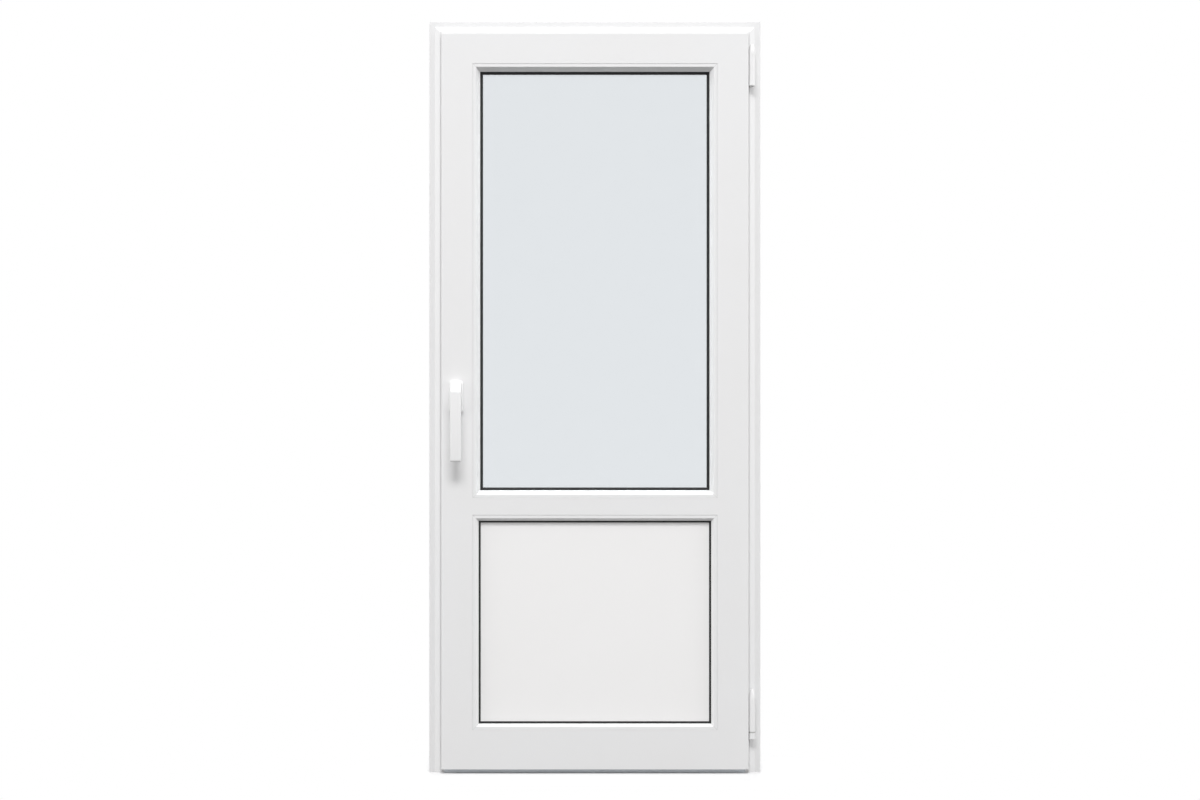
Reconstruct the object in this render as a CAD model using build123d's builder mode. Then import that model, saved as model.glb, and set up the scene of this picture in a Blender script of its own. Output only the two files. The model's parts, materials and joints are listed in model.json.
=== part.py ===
"""Tilt-and-turn balcony door in white plastic profiles, glazed above a solid panel.

Millimetres. X runs along the door towards the hinges, Y points outdoors, Z is up.
The origin is on the underside of the frame, midway between the jambs and in the middle of their depth.
The sash is shut. It swings on the hinge pins to turn, and leans on the bottom pivot to tilt.
"""

import os
from collections import namedtuple

from build123d import *

os.makedirs("parts", exist_ok=True)

# Overall size
door_width = 900.0
door_height = 2040.0
frame_depth = 70.0

# Frame profile, across its face from the outer edge inwards
frame_face = 34.0
sash_overlap = 8.0
stop_reach = 22.0
stop_thickness = 18.0
stop_chamfer = 5.0
outer_land = 16.0
face_land = 12.0
face_fall = 7.0
frame_edge_round = 2.5
wall_groove_width = 6.0
wall_groove_depth = 4.0
wall_groove_places = (-11.0, 11.0)

# Fixing holes through the jambs into the wall
fixing_radius = 5.1
fixing_end = 150.0
fixing_count = 4

# Sash profile, across its face from the outer edge inwards
sash_proud = 20.0
flange_gap = 7.0
stop_gap = 7.0
air_gap = 12.0
sash_face = 85.0
bottom_rail_face = 106.5
transom_face = 46.0
transom_centre = 723.0
floor_gap = 12.0
glazing_depth = 20.0
glazing_wall = 14.0
glazing_chamfer = 4.0
sash_edge_round = 4.0
joint_round = 1.2

# Groove round the sash edge that takes the fittings
fitting_line = 13.0
fitting_width = 16.0
fitting_seat = 3.0
rod_width = 12.0
rod_depth = 9.0

# Threshold
threshold_height = 20.0
threshold_gap = 6.0
threshold_nose = 4.0
threshold_wall = 4.0
threshold_core_height = 7.0
threshold_fall = 9.0
threshold_flat_end = 12.0
tread_groove_width = 2.0
tread_groove_depth = 1.0
tread_groove_pitch = 5.0
tread_groove_count = 7

# Glass, panel and beads
pane_thickness = 4.0
pane_space = 16.0
panel_thickness = 32.0
skin_thickness = 2.0
edge_clearance = 5.0
spacer_inset = 4.0
spacer_width = 8.0
bead_width = 20.0
panel_bead_width = 16.0
bead_rim = 9.0
bead_drop = 0.8
bead_foot = 4.0
inner_gasket_thickness = 3.0
inner_gasket_show = 7.5
panel_gasket_show = 5.5
inner_gasket_rise = 1.6
outer_gasket_thickness = 3.0
outer_gasket_show = 2.0

# Seals
seal_root_width = 3.0
seal_root_depth = 4.0
seal_play = 0.3
seal_bulb = 6.5
seal_start = 44.0
seal_notch_play = 3.0
brush_width = 8.0
brush_gap = 1.0

# Hinges
hinge_offset = 9.5
hinge_standoff = 11.0
barrel_radius = 8.5
tip_radius = 3.2
pin_radius = 4.0
pin_play = 0.1
knuckle_gap = 0.4
bearing_foot_width = 12.0
bearing_floor = 4.0
collar_height = 3.0
collar_lip = 0.6
leaf_thickness = 3.0
leaf_clear = 1.5
leaf_run = 3.0

# Bottom hinge heights
corner_bearing_bottom = 92.0
corner_bearing_height = 18.0
corner_sleeve_height = 84.0
corner_tip_height = 31.0
corner_leaf_height = 56.0
corner_plate_height = 180.0

# Tilt pivot
tilt_height = 38.0
pivot_edge = 8.0
pivot_head_radius = 6.5
pivot_head_thickness = 2.0

# Top hinge and stay
stay_bearing_drop = 145.0
stay_bearing_height = 83.0
stay_knuckle_height = 29.0
stay_knuckle_straight = 6.0
stay_arm_length = 400.0
stay_arm_width = 14.0
stay_arm_thickness = 3.0
stay_arm_clear = 1.5
stay_leaf_height = 22.0
stay_riser_width = 7.0
stud_depth = 7.0
stud_play = 2.0
stay_rail_margin = 30.0
stay_travel = 34.0

# Lock
lower_lock_rise = 304.0
middle_lock_rise = 155.0
upper_lock_drop = 196.0
faceplate_margin = 110.0
cam_radius = 5.0
cam_reach = 7.5
striker_width = 24.0
striker_height = 70.0
striker_thickness = 3.0
striker_lip_rise = 4.0
striker_lip_width = 5.0
striker_mouth = 11.0

# Handle
spindle_height = 1020.0
spindle_inset = 41.0
rose_width = 37.0
rose_height = 86.0
rose_thickness = 12.0
rose_corner = 6.0
rose_bevel = 2.5
boss_radius = 11.0
boss_depth = 7.0
grip_width = 29.0
grip_length = 175.0
grip_reach = 49.0
grip_thickness = 13.0
grip_bow = 2.5
grip_round = 2.5
neck_top = 40.0
neck_bottom = 18.0
shoulder_drop = 28.0
shoulder_slope = 0.25
handle_gap = 0.6

# Levels across the depth
frame_room = -frame_depth / 2
frame_out = frame_depth / 2
stop_face = frame_out - stop_thickness
sash_room = frame_room - sash_proud
flange_back = frame_room - flange_gap
sash_out = stop_face - stop_gap
fitting_middle = flange_back + fitting_line
wall_face = sash_out - glazing_wall
glass_out = wall_face - outer_gasket_thickness
glass_room = glass_out - 2 * pane_thickness - pane_space
panel_room = glass_out - panel_thickness
bead_room = sash_room + bead_drop

# Distances across the face
rebate_reach = frame_face + sash_overlap
flange_reach = sash_overlap + air_gap
sash_foot = threshold_height + threshold_gap
fixing_pitch = (door_height - 2 * fixing_end) / (fixing_count - 1)

Field = namedtuple("Field", "left right bottom top")
SIDES = ("left", "top", "right", "bottom")

frame_field = Field(-door_width / 2, door_width / 2, 0.0, door_height)
sash_field = Field(
    frame_field.left + frame_face,
    frame_field.right - frame_face,
    floor_gap,
    frame_field.top - frame_face,
)
upper_field = Field(
    sash_field.left + sash_face,
    sash_field.right - sash_face,
    transom_centre + transom_face / 2,
    sash_field.top - sash_face,
)
lower_field = Field(
    upper_field.left,
    upper_field.right,
    sash_field.bottom + bottom_rail_face,
    transom_centre - transom_face / 2,
)

hinge_x = sash_field.right + hinge_offset
hinge_y = frame_room - hinge_standoff
hinge_axis = Axis((hinge_x, hinge_y, 0), (0, 0, 1))
hinge_plane = Plane(origin=(hinge_x, hinge_y, 0), x_dir=(1, 0, 0), z_dir=(0, -1, 0))
sash_edge = sash_field.right - flange_reach
sash_top = sash_field.top - flange_reach
leaf_back = flange_back + leaf_clear + leaf_thickness
stay_bearing_bottom = sash_field.top - stay_bearing_drop
lock_heights = (
    sash_foot + lower_lock_rise,
    spindle_height + middle_lock_rise,
    sash_top - upper_lock_drop,
)


def side_plane(side, field):
    """Sketch plane for one side: X runs inwards from the field's edge and Y runs outdoors."""
    if side == "left":
        return Plane(origin=(field.left, 0, field.bottom), x_dir=(1, 0, 0), z_dir=(0, 0, 1))
    if side == "right":
        return Plane(origin=(field.right, 0, field.top), x_dir=(-1, 0, 0), z_dir=(0, 0, -1))
    if side == "top":
        return Plane(origin=(field.left, 0, field.top), x_dir=(0, 0, -1), z_dir=(1, 0, 0))
    return Plane(origin=(field.right, 0, field.bottom), x_dir=(0, 0, 1), z_dir=(-1, 0, 0))


def side_length(side, field):
    """Length of one side of a field."""
    if side in ("left", "right"):
        return field.top - field.bottom
    return field.right - field.left


def mitre_planes(side, field):
    """The two planes that cut a side's ends at 45 degrees, each facing the piece that stays."""
    low_left = (field.left, 0, field.bottom)
    low_right = (field.right, 0, field.bottom)
    high_left = (field.left, 0, field.top)
    high_right = (field.right, 0, field.top)
    cuts = {
        "left": ((low_left, (-1, 0, 1)), (high_left, (-1, 0, -1))),
        "right": ((low_right, (1, 0, 1)), (high_right, (1, 0, -1))),
        "bottom": ((low_left, (1, 0, -1)), (low_right, (-1, 0, -1))),
        "top": ((high_left, (1, 0, 1)), (high_right, (-1, 0, 1))),
    }
    return [Plane(origin=point, z_dir=facing) for point, facing in cuts[side]]


def mitred_bar(outline, side, field):
    """A profile run along one side of a field, mitred at both ends."""
    with BuildPart() as bar:
        with BuildSketch(side_plane(side, field)):
            with BuildLine():
                Polyline(*outline, close=True)
            make_face()
        extrude(amount=side_length(side, field))
        for cut in mitre_planes(side, field):
            split(bisect_by=cut, keep=Keep.TOP)
    return bar.part


def save(piece, name):
    """Label a finished piece and write it."""
    piece.label = name
    export_step(piece, f"parts/{name}.step")


# Frame: two jambs and a head of one profile, mitred at the top corners

seal_seat = stop_reach / 2 + rebate_reach + seal_root_width / 2


def frame_outline():
    """Section of the frame, from the outer edge inwards."""
    stop_end = rebate_reach + stop_reach
    root = seal_seat - seal_root_width
    points = [
        (0, frame_room + face_fall),
        (outer_land, frame_room + face_fall),
        (rebate_reach - face_land, frame_room),
        (rebate_reach, frame_room),
        (rebate_reach, stop_face),
        (root, stop_face),
        (root, stop_face + seal_root_depth),
        (seal_seat, stop_face + seal_root_depth),
        (seal_seat, stop_face),
        (stop_end, stop_face),
        (stop_end, frame_out - stop_chamfer),
        (stop_end - stop_chamfer, frame_out),
        (0, frame_out),
    ]
    for place in sorted(wall_groove_places, reverse=True):
        points += [
            (0, place + wall_groove_width / 2),
            (wall_groove_depth, place + wall_groove_width / 2),
            (wall_groove_depth, place - wall_groove_width / 2),
            (0, place - wall_groove_width / 2),
        ]
    return points


def frame_member(side):
    """One length of frame. Jambs are mitred at the head and cut square at the floor."""
    with BuildPart() as member:
        with BuildSketch(side_plane(side, frame_field)) as section:
            with BuildLine():
                Polyline(*frame_outline(), close=True)
            make_face()
            edge = section.vertices().sort_by_distance((0, frame_room + face_fall))[0]
            fillet(edge, radius=frame_edge_round)
        extrude(amount=side_length(side, frame_field))
        cuts = mitre_planes(side, frame_field)
        for cut in cuts if side == "top" else cuts[1:]:
            split(bisect_by=cut, keep=Keep.TOP)
        if side != "top":
            outer = frame_field.left if side == "left" else frame_field.right
            drill = Plane(origin=(outer, 0, door_height / 2), x_dir=(0, 1, 0), z_dir=(1, 0, 0))
            with BuildSketch(drill):
                with GridLocations(1, fixing_pitch, 1, fixing_count):
                    Circle(fixing_radius)
            extrude(amount=rebate_reach, both=True, mode=Mode.SUBTRACT)
    return member.part


lock_jamb = frame_member("left")
hinge_jamb = frame_member("right")
save(lock_jamb, "frame_lock_jamb")
save(hinge_jamb, "frame_hinge_jamb")
save(frame_member("top"), "frame_head")


# Seal pressed into the stop, which the outside of the sash closes on

def bulb_outline(seat, root_level, bulb_end):
    """Section of a seal: a root in its groove and a bulb that narrows to the closing line."""
    away = 1 if bulb_end > root_level else -1
    middle = seat - seal_root_width / 2
    half_root = seal_root_width / 2 - seal_play
    half_bulb = seal_bulb / 2
    root_end = root_level - away * (seal_root_depth - seal_play)
    waist = (root_level + bulb_end) / 2
    return [
        (middle - half_root, root_end),
        (middle + half_root, root_end),
        (middle + half_root, root_level),
        (middle + half_bulb, root_level),
        (middle + half_bulb, waist),
        (middle + half_root, bulb_end),
        (middle - half_root, bulb_end),
        (middle - half_bulb, waist),
        (middle - half_bulb, root_level),
        (middle - half_root, root_level),
    ]


def three_sided_seal(outline, field):
    """A seal up both sides and across the top, starting above the tilt pivot."""
    bars = [mitred_bar(outline, side, field) for side in ("left", "top", "right")]
    with BuildPart() as seal:
        add(bars)
        foot = Plane.XY.offset(seal_start)
        split(bisect_by=foot, keep=Keep.TOP)
    return seal.part


save(three_sided_seal(bulb_outline(seal_seat, stop_face, sash_out + seal_play), frame_field), "frame_seal")


# Threshold: a ribbed metal tread over a plastic core, notched round the jambs

clear_half = frame_field.right - rebate_reach
stop_half = clear_half - stop_reach
tread_plane = Plane(origin=(-clear_half, 0, 0), x_dir=(0, 1, 0), z_dir=(1, 0, 0))
core_half = frame_depth / 2 - threshold_wall
tread_middle = (frame_room + threshold_nose + threshold_flat_end) / 2

with BuildPart() as threshold:
    with BuildSketch(tread_plane):
        with BuildLine():
            Polyline(
                (frame_room, 0),
                (frame_room, threshold_height - threshold_nose),
                (frame_room + threshold_nose, threshold_height),
                (threshold_flat_end, threshold_height),
                (frame_out, threshold_height - threshold_fall),
                (frame_out, 0),
                close=True,
            )
        make_face()
        with Locations((0, 0)):
            Rectangle(2 * core_half, 2 * threshold_core_height, mode=Mode.SUBTRACT)
        with Locations((tread_middle, threshold_height)):
            with GridLocations(tread_groove_pitch, 1, tread_groove_count, 1):
                Rectangle(tread_groove_width, 2 * tread_groove_depth, mode=Mode.SUBTRACT)
    extrude(amount=2 * clear_half)
    for end in (-1, 1):
        with Locations((end * clear_half, stop_face, 0)):
            Box(
                2 * stop_reach,
                frame_depth,
                2 * threshold_height,
                align=(Align.CENTER, Align.MIN, Align.CENTER),
                mode=Mode.SUBTRACT,
            )
save(threshold.part, "threshold")

with BuildPart() as threshold_core:
    with Locations((0, -core_half, 0)):
        Box(
            2 * clear_half,
            2 * core_half,
            threshold_core_height,
            align=(Align.CENTER, Align.MIN, Align.MIN),
        )
    for end in (-1, 1):
        with Locations((end * clear_half, stop_face, 0)):
            Box(
                2 * stop_reach,
                frame_depth,
                2 * threshold_height,
                align=(Align.CENTER, Align.MIN, Align.CENTER),
                mode=Mode.SUBTRACT,
            )
save(threshold_core.part, "threshold_core")


# Sash: stiles and top rail of one profile, a deeper bottom rail and a transom

def sash_outline(body_start, face):
    """Section of a sash member: the lapping flange, the body and the wall outside the glass."""
    wall_end = face + glazing_depth
    seat_room = fitting_middle - fitting_width / 2
    seat_out = fitting_middle + fitting_width / 2
    rod_room = fitting_middle - rod_width / 2
    rod_out = fitting_middle + rod_width / 2
    root_out = sash_overlap / 2 + seal_root_width / 2
    return [
        (0, sash_room),
        (face, sash_room),
        (face, wall_face),
        (wall_end, wall_face),
        (wall_end, sash_out - glazing_chamfer),
        (wall_end - glazing_chamfer, sash_out),
        (body_start, sash_out),
        (body_start, seat_out),
        (body_start + fitting_seat, seat_out),
        (body_start + fitting_seat, rod_out),
        (body_start + rod_depth, rod_out),
        (body_start + rod_depth, rod_room),
        (body_start + fitting_seat, rod_room),
        (body_start + fitting_seat, seat_room),
        (body_start, seat_room),
        (body_start, flange_back),
        (root_out, flange_back),
        (root_out, flange_back - seal_root_depth),
        (root_out - seal_root_width, flange_back - seal_root_depth),
        (root_out - seal_root_width, flange_back),
        (0, flange_back),
    ]


def sash_member(side):
    """One length of sash. Stiles are mitred at the top and notched at the foot over the threshold."""
    with BuildPart() as member:
        with BuildSketch(side_plane(side, sash_field)) as section:
            with BuildLine():
                Polyline(*sash_outline(flange_reach, sash_face), close=True)
            make_face()
            edge = section.vertices().sort_by_distance((0, sash_room))[0]
            fillet(edge, radius=sash_edge_round)
        extrude(amount=side_length(side, sash_field))
        cuts = mitre_planes(side, sash_field)
        for cut in cuts if side == "top" else cuts[1:]:
            split(bisect_by=cut, keep=Keep.TOP)
        if side != "top":
            outer = sash_field.left if side == "left" else sash_field.right
            with Locations((outer, flange_back, sash_field.bottom)):
                Box(
                    2 * (sash_face + glazing_depth),
                    sash_out - flange_back,
                    sash_foot - sash_field.bottom,
                    align=(Align.CENTER, Align.MIN, Align.MIN),
                    mode=Mode.SUBTRACT,
                )
    return member.part


save(sash_member("left"), "sash_lock_stile")
save(sash_member("right"), "sash_hinge_stile")
save(sash_member("top"), "sash_top_rail")

rail_field = Field(upper_field.left, upper_field.right, sash_field.bottom, sash_field.top)
wall_half = upper_field.right - glazing_depth

with BuildPart() as bottom_rail:
    with BuildSketch(side_plane("bottom", rail_field)):
        with BuildLine():
            Polyline(*sash_outline(sash_foot - sash_field.bottom, bottom_rail_face), close=True)
        make_face()
    extrude(amount=side_length("bottom", rail_field))
    for end in (-1, 1):
        with Locations((end * upper_field.right, wall_face, 0)):
            Box(
                2 * glazing_depth,
                glazing_wall,
                door_height,
                align=(Align.CENTER, Align.MIN, Align.CENTER),
                mode=Mode.SUBTRACT,
            )
save(bottom_rail.part, "sash_bottom_rail")

transom_plane = Plane(origin=(0, 0, transom_centre), x_dir=(0, 0, 1), z_dir=(-1, 0, 0))
transom_half = transom_face / 2
transom_wall = transom_half + glazing_depth

with BuildPart() as transom:
    with BuildSketch(transom_plane):
        with Locations((0, sash_room)):
            Rectangle(transom_face, wall_face - sash_room, align=(Align.CENTER, Align.MIN))
    extrude(amount=upper_field.right, both=True)
    with BuildSketch(transom_plane):
        with BuildLine():
            Polyline(
                (-transom_wall, wall_face),
                (transom_wall, wall_face),
                (transom_wall, sash_out - glazing_chamfer),
                (transom_wall - glazing_chamfer, sash_out),
                (glazing_chamfer - transom_wall, sash_out),
                (-transom_wall, sash_out - glazing_chamfer),
                close=True,
            )
        make_face()
    extrude(amount=wall_half, both=True)
save(transom.part, "sash_transom")


# Seal on the lapping flange and brush under the bottom rail

flange_seal = three_sided_seal(
    bulb_outline(
        sash_overlap / 2 + seal_root_width / 2,
        flange_back,
        frame_room - seal_play,
    ),
    sash_field,
)
corner_leaf_bottom = corner_bearing_bottom + corner_bearing_height + collar_height + knuckle_gap + leaf_run
stay_knuckle_bottom = stay_bearing_bottom + stay_bearing_height + knuckle_gap
leaf_spans = (
    (corner_leaf_bottom, corner_leaf_height),
    (stay_knuckle_bottom + leaf_run, stay_leaf_height),
)

with BuildPart() as sash_seal:
    add(flange_seal)
    for bottom, height in leaf_spans:
        with Locations((sash_field.right - sash_overlap / 2, flange_back, bottom - seal_notch_play)):
            Box(
                2 * sash_overlap,
                2 * (flange_gap + seal_root_depth),
                height + 2 * seal_notch_play,
                align=(Align.CENTER, Align.CENTER, Align.MIN),
                mode=Mode.SUBTRACT,
            )
save(sash_seal.part, "sash_seal")

with BuildPart() as bottom_brush:
    with Locations((0, fitting_middle, threshold_height + brush_gap)):
        Box(
            2 * upper_field.right,
            brush_width,
            threshold_gap - brush_gap + rod_depth,
            align=(Align.CENTER, Align.CENTER, Align.MIN),
        )
save(bottom_brush.part, "bottom_brush")


# Glass unit above and sandwich panel below

def sheet(field, room_face, thickness):
    """A flat sheet that fills a glazing rebate with its edge clearance."""
    with BuildPart() as plate:
        with Locations(((field.left + field.right) / 2, room_face, (field.bottom + field.top) / 2)):
            Box(
                field.right - field.left - 2 * edge_clearance,
                thickness,
                field.top - field.bottom - 2 * edge_clearance,
                align=(Align.CENTER, Align.MIN, Align.CENTER),
            )
    return plate.part


def ring(outline, field):
    """Four mitred bars of one profile joined into a closed frame."""
    bars = [mitred_bar(outline, side, field) for side in SIDES]
    with BuildPart() as closed:
        add(bars)
    return closed.part


spacer_start = edge_clearance + spacer_inset
spacer_room = glass_room + pane_thickness
spacer_outline = [
    (spacer_start, spacer_room),
    (spacer_start + spacer_width, spacer_room),
    (spacer_start + spacer_width, spacer_room + pane_space),
    (spacer_start, spacer_room + pane_space),
]
panel_core_thickness = panel_thickness - 2 * skin_thickness
save(sheet(upper_field, glass_room, pane_thickness), "glass_inner_pane")
save(sheet(upper_field, glass_out - pane_thickness, pane_thickness), "glass_outer_pane")
save(ring(spacer_outline, upper_field), "glass_spacer")
save(sheet(lower_field, panel_room, skin_thickness), "panel_inner_skin")
save(sheet(lower_field, panel_room + skin_thickness, panel_core_thickness), "panel_core")
save(sheet(lower_field, glass_out - skin_thickness, skin_thickness), "panel_outer_skin")


# Beads and gaskets round both fields

Infill = namedtuple("Infill", "name field room_face bead_width gasket_show")
infills = (
    Infill("upper", upper_field, glass_room, bead_width, inner_gasket_show),
    Infill("lower", lower_field, panel_room, panel_bead_width, panel_gasket_show),
)
outer_gasket_outline = [
    (spacer_start, glass_out),
    (spacer_start, wall_face),
    (glazing_depth, wall_face),
    (glazing_depth + outer_gasket_show, glass_out),
]


def inner_gasket_outline(infill):
    """The wedge of rubber that shows between the bead and the glass or panel."""
    back = infill.room_face - inner_gasket_thickness
    return [
        (infill.bead_width - infill.gasket_show, infill.room_face),
        (infill.bead_width - infill.gasket_show, back),
        (infill.bead_width, back),
        (infill.bead_width, back - inner_gasket_rise),
        (infill.bead_width + inner_gasket_rise, back - inner_gasket_rise),
        (infill.bead_width + infill.gasket_show, infill.room_face),
    ]


def bead(side, infill):
    """One glazing bead: a flat rim, then a slope down to the glass or panel."""
    back = infill.room_face - inner_gasket_thickness
    with BuildPart() as strip:
        with BuildSketch(side_plane(side, infill.field)) as section:
            with BuildLine():
                Polyline(
                    (0, bead_room),
                    (bead_rim, bead_room),
                    (infill.bead_width, back - bead_foot),
                    (infill.bead_width, back),
                    (0, back),
                    close=True,
                )
            make_face()
            for place in (0, bead_rim):
                corner = section.vertices().sort_by_distance((place, bead_room))[0]
                fillet(corner, radius=joint_round)
        extrude(amount=side_length(side, infill.field))
        for cut in mitre_planes(side, infill.field):
            split(bisect_by=cut, keep=Keep.TOP)
    return strip.part


for infill in infills:
    for side in SIDES:
        save(bead(side, infill), f"{infill.name}_bead_{side}")
    save(ring(inner_gasket_outline(infill), infill.field), f"{infill.name}_inner_gasket")
    save(ring(outer_gasket_outline, infill.field), f"{infill.name}_outer_gasket")


# Bottom hinge: a bearing on the jamb, a collared pin, and a sleeve whose leg reaches the tilt pivot

def bearing(bottom, height, pin_bottom):
    """A hinge barrel fixed to the jamb by a foot that follows the face of the frame."""
    with BuildPart() as barrel:
        with BuildSketch(Plane.XY.offset(bottom)):
            with Locations((hinge_x, hinge_y)):
                Circle(barrel_radius)
            with Locations((hinge_x, hinge_y)):
                Rectangle(
                    bearing_foot_width,
                    hinge_standoff + face_fall,
                    align=(Align.CENTER, Align.MIN),
                )
        extrude(amount=height)
        add(hinge_jamb, mode=Mode.SUBTRACT)
        with BuildSketch(Plane.XY.offset(pin_bottom)):
            with Locations((hinge_x, hinge_y)):
                Circle(pin_radius + pin_play)
        extrude(amount=bottom + height - pin_bottom, mode=Mode.SUBTRACT)
        rim = barrel.faces().sort_by(Axis.Z)[0].edges().filter_by(GeomType.CIRCLE)
        chamfer(rim, length=joint_round)
    return barrel.part


corner_bearing_top = corner_bearing_bottom + corner_bearing_height
corner_pin_bottom = corner_bearing_bottom + bearing_floor
save(bearing(corner_bearing_bottom, corner_bearing_height, corner_pin_bottom), "corner_bearing")

corner_sleeve_bottom = corner_bearing_top + collar_height + knuckle_gap
corner_sleeve_top = corner_sleeve_bottom + corner_sleeve_height

with BuildPart() as corner_pin:
    with BuildSketch(Plane.XY.offset(corner_pin_bottom)):
        with Locations((hinge_x, hinge_y)):
            Circle(pin_radius)
    extrude(amount=corner_sleeve_top - corner_pin_bottom)
    with BuildSketch(Plane.XY.offset(corner_bearing_top)):
        with Locations((hinge_x, hinge_y)):
            Circle(barrel_radius + collar_lip)
    extrude(amount=collar_height)
save(corner_pin.part, "corner_pin")


def tipped_sleeve(bottom, straight, tip, bore_top):
    """Outline for a sleeve of revolution: a blind bore, a straight barrel and a tip that narrows."""
    shoulder = bottom + straight
    top = shoulder + tip
    bore = pin_radius + pin_play
    with BuildSketch(hinge_plane) as outline:
        with BuildLine():
            Polyline((tip_radius, top), (0, top), (0, bore_top), (bore, bore_top), (bore, bottom))
            Polyline((bore, bottom), (barrel_radius, bottom), (barrel_radius, shoulder))
            TangentArc((barrel_radius, shoulder), (tip_radius, top), tangent=(0, 1))
        make_face()
    return outline.sketch


leg_room = leaf_back - leaf_thickness
leg_start = sash_edge + leaf_run
leg_out = fitting_middle + fitting_width / 2

with BuildPart() as corner_hinge:
    revolve(
        tipped_sleeve(
            corner_sleeve_bottom,
            corner_sleeve_height,
            corner_tip_height,
            corner_sleeve_top + pin_play,
        ),
        axis=hinge_axis,
    )
    with Locations((hinge_x, leg_room, corner_leaf_bottom)):
        Box(
            hinge_x - leg_start,
            leaf_thickness,
            corner_leaf_height,
            align=(Align.MAX, Align.MIN, Align.MIN),
        )
    with Locations((leg_start, leg_room, tilt_height - pivot_edge)):
        Box(
            leaf_thickness,
            leg_out - leg_room,
            corner_leaf_bottom + corner_leaf_height - tilt_height + pivot_edge,
            align=(Align.MIN, Align.MIN, Align.MIN),
        )
    pivot_plane = Plane(origin=(sash_edge, fitting_middle, tilt_height), x_dir=(0, 1, 0), z_dir=(1, 0, 0))
    with BuildSketch(pivot_plane):
        Circle(pin_radius + pin_play)
    extrude(amount=flange_reach, mode=Mode.SUBTRACT)
save(corner_hinge.part, "corner_hinge")

with BuildPart() as corner_plate:
    with Locations((sash_edge, fitting_middle, sash_foot + knuckle_gap)):
        Box(
            fitting_seat,
            fitting_width,
            corner_plate_height,
            align=(Align.MAX, Align.CENTER, Align.MIN),
        )
    with BuildSketch(pivot_plane):
        Circle(pin_radius)
    pivot_reach = leaf_run + leaf_thickness + knuckle_gap
    extrude(amount=pivot_reach)
    with BuildSketch(pivot_plane.offset(pivot_reach)):
        Circle(pivot_head_radius)
    extrude(amount=pivot_head_thickness)
save(corner_plate.part, "corner_plate")


# Top hinge: a bearing and pin on the jamb, and the stay arm that lies along the top of the sash

stay_pin_bottom = stay_bearing_bottom + bearing_floor
stay_bore_top = stay_knuckle_bottom + stay_knuckle_height - barrel_radius
save(bearing(stay_bearing_bottom, stay_bearing_height, stay_pin_bottom), "stay_bearing")

with BuildPart() as stay_pin:
    with BuildSketch(Plane.XY.offset(stay_pin_bottom)):
        with Locations((hinge_x, hinge_y)):
            Circle(pin_radius)
    extrude(amount=stay_bore_top - pin_play - stay_pin_bottom)
save(stay_pin.part, "stay_pin")

arm_bottom = sash_top + stay_arm_clear
arm_top = arm_bottom + stay_arm_thickness
stud_x = hinge_x - stay_arm_length
arm_out = fitting_middle + stay_arm_width / 2

with BuildPart() as stay_arm:
    revolve(
        tipped_sleeve(
            stay_knuckle_bottom,
            stay_knuckle_straight,
            stay_knuckle_height - stay_knuckle_straight,
            stay_bore_top,
        ),
        axis=hinge_axis,
    )
    with Locations((hinge_x, leg_room, stay_knuckle_bottom + leaf_run)):
        Box(
            hinge_x - leg_start,
            leaf_thickness,
            stay_leaf_height,
            align=(Align.MAX, Align.MIN, Align.MIN),
        )
    with Locations((leg_start, leg_room, stay_knuckle_bottom + leaf_run)):
        Box(
            stay_riser_width,
            leaf_thickness,
            arm_top - stay_knuckle_bottom - leaf_run,
            align=(Align.MIN, Align.MIN, Align.MIN),
        )
    with Locations((leg_start, leg_room, arm_bottom)):
        Box(
            stay_riser_width,
            arm_out - leg_room,
            stay_arm_thickness,
            align=(Align.MIN, Align.MIN, Align.MIN),
        )
    with BuildSketch(Plane.XY.offset(arm_bottom)):
        with Locations((leg_start, fitting_middle)):
            Rectangle(leg_start - stud_x, stay_arm_width, align=(Align.MAX, Align.CENTER))
        with Locations((stud_x, fitting_middle)):
            Circle(stay_arm_width / 2)
    extrude(amount=stay_arm_thickness)
    with BuildSketch(Plane.XY.offset(arm_bottom)):
        with Locations((stud_x, fitting_middle)):
            Circle(pin_radius)
    extrude(amount=-(stay_arm_clear + stud_depth))
    bore_plane = Plane.XY.offset(stay_knuckle_bottom)
    with BuildSketch(bore_plane):
        with Locations((hinge_x, hinge_y)):
            Circle(pin_radius + pin_play)
    extrude(amount=stay_bore_top - stay_knuckle_bottom, mode=Mode.SUBTRACT)
save(stay_arm.part, "stay_arm")

with BuildPart() as stay_rail:
    with BuildSketch(Plane.XY.offset(sash_top)):
        with Locations((stud_x + stay_travel / 2, fitting_middle)):
            Rectangle(stay_travel + 2 * stay_rail_margin, fitting_width)
            SlotCenterToCenter(stay_travel, 2 * (pin_radius + stud_play), mode=Mode.SUBTRACT)
    extrude(amount=-fitting_seat)
save(stay_rail.part, "stay_rail")


# Lock: a faceplate with cams on the sash and strikers on the jamb

lock_edge = -sash_edge
lock_wall = -clear_half

with BuildPart() as gear_faceplate:
    with Locations((lock_edge, fitting_middle, (sash_foot + sash_top) / 2)):
        Box(
            fitting_seat,
            fitting_width,
            sash_top - sash_foot - 2 * faceplate_margin,
            align=(Align.MIN, Align.CENTER, Align.CENTER),
        )
    for height in lock_heights:
        cam_plane = Plane(origin=(lock_edge, fitting_middle, height), x_dir=(0, 1, 0), z_dir=(-1, 0, 0))
        with BuildSketch(cam_plane):
            Circle(cam_radius)
        extrude(amount=cam_reach)
save(gear_faceplate.part, "gear_faceplate")


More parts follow.
